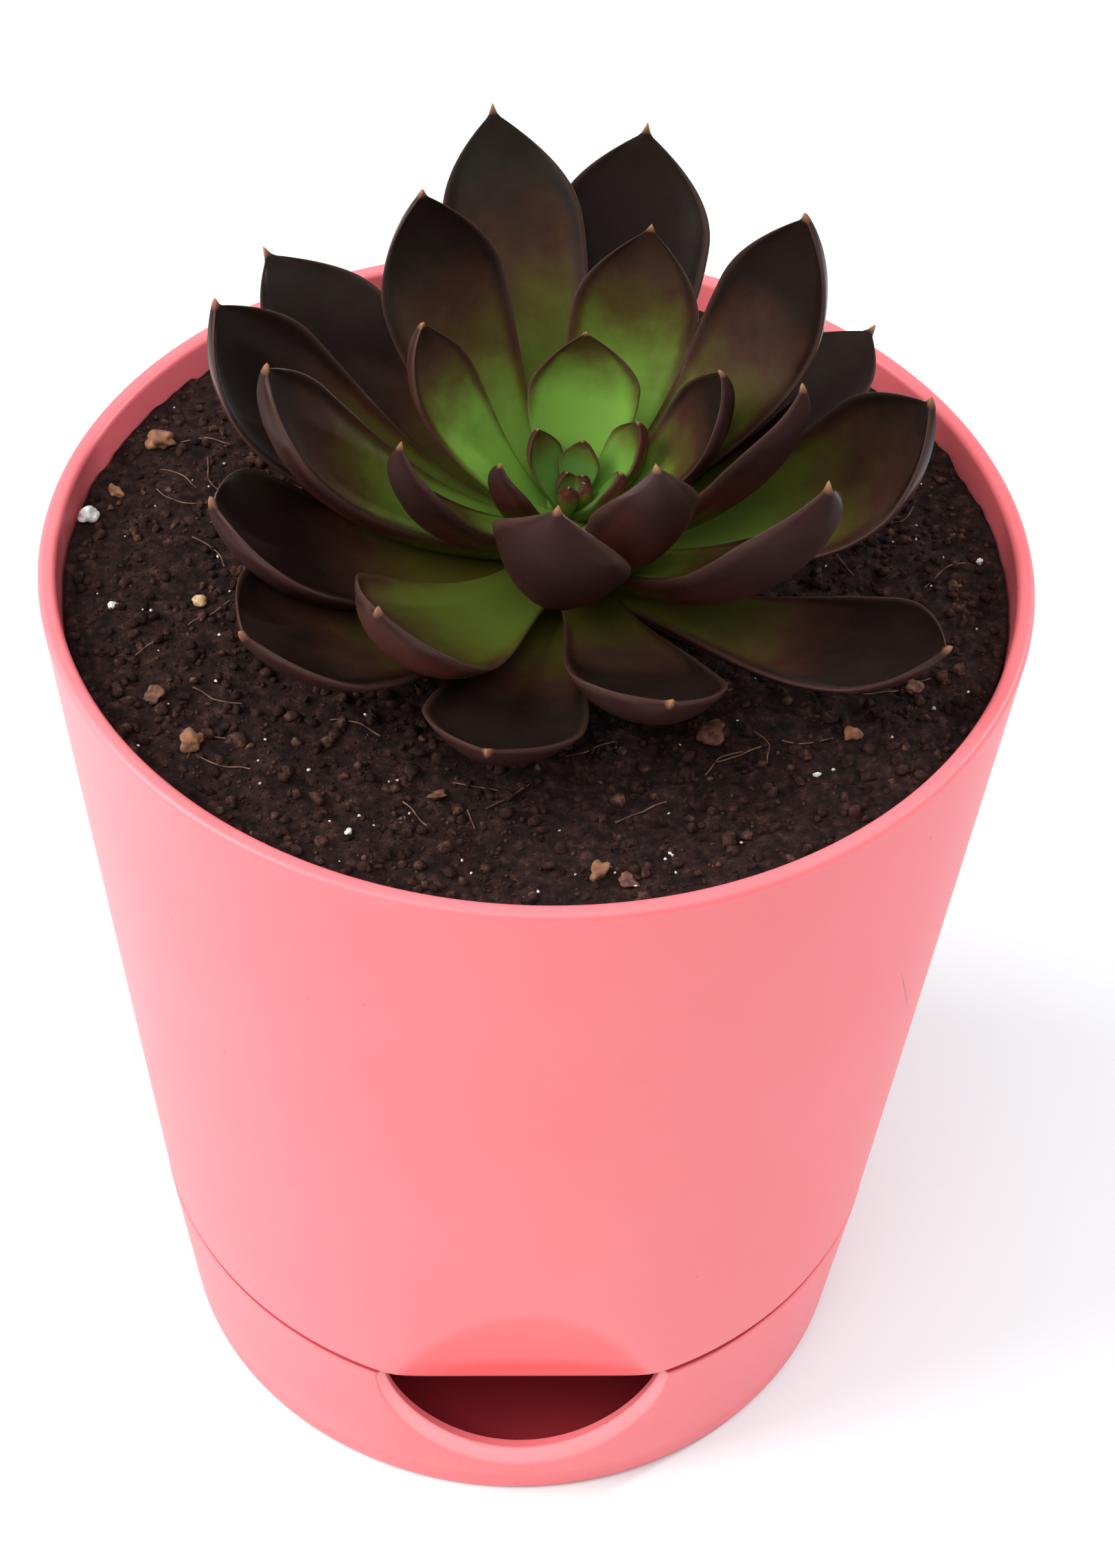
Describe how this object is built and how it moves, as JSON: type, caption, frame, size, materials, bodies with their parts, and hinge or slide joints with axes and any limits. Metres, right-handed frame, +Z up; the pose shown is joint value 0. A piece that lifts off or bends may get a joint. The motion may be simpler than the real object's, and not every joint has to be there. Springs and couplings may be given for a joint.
{
  "type": "potted echeveria",
  "caption": "Rosette succulent with fleshy pointed leaves, rooted in potting soil in a tapered two-piece self-watering pot with a half-moon water mouth.",
  "frame": {"origin": "centre of the pot's base, on the surface that it stands on", "axes": "+Z up along the pot's axis; the water mouth faces -Y; +X is to the right seen from the mouth"},
  "size_m": [0.12, 0.12, 0.1779],
  "materials": {
    "pot_plastic": "satin",
    "cup_plastic": "satin",
    "potting_soil": "matte",
    "leaf": "satin"
  },
  "bodies": {
    "root": {"inner_pot": "pot_plastic", "reservoir": "cup_plastic", "soil": "potting_soil", "rosette": "leaf"}
  },
  "joints": []
}
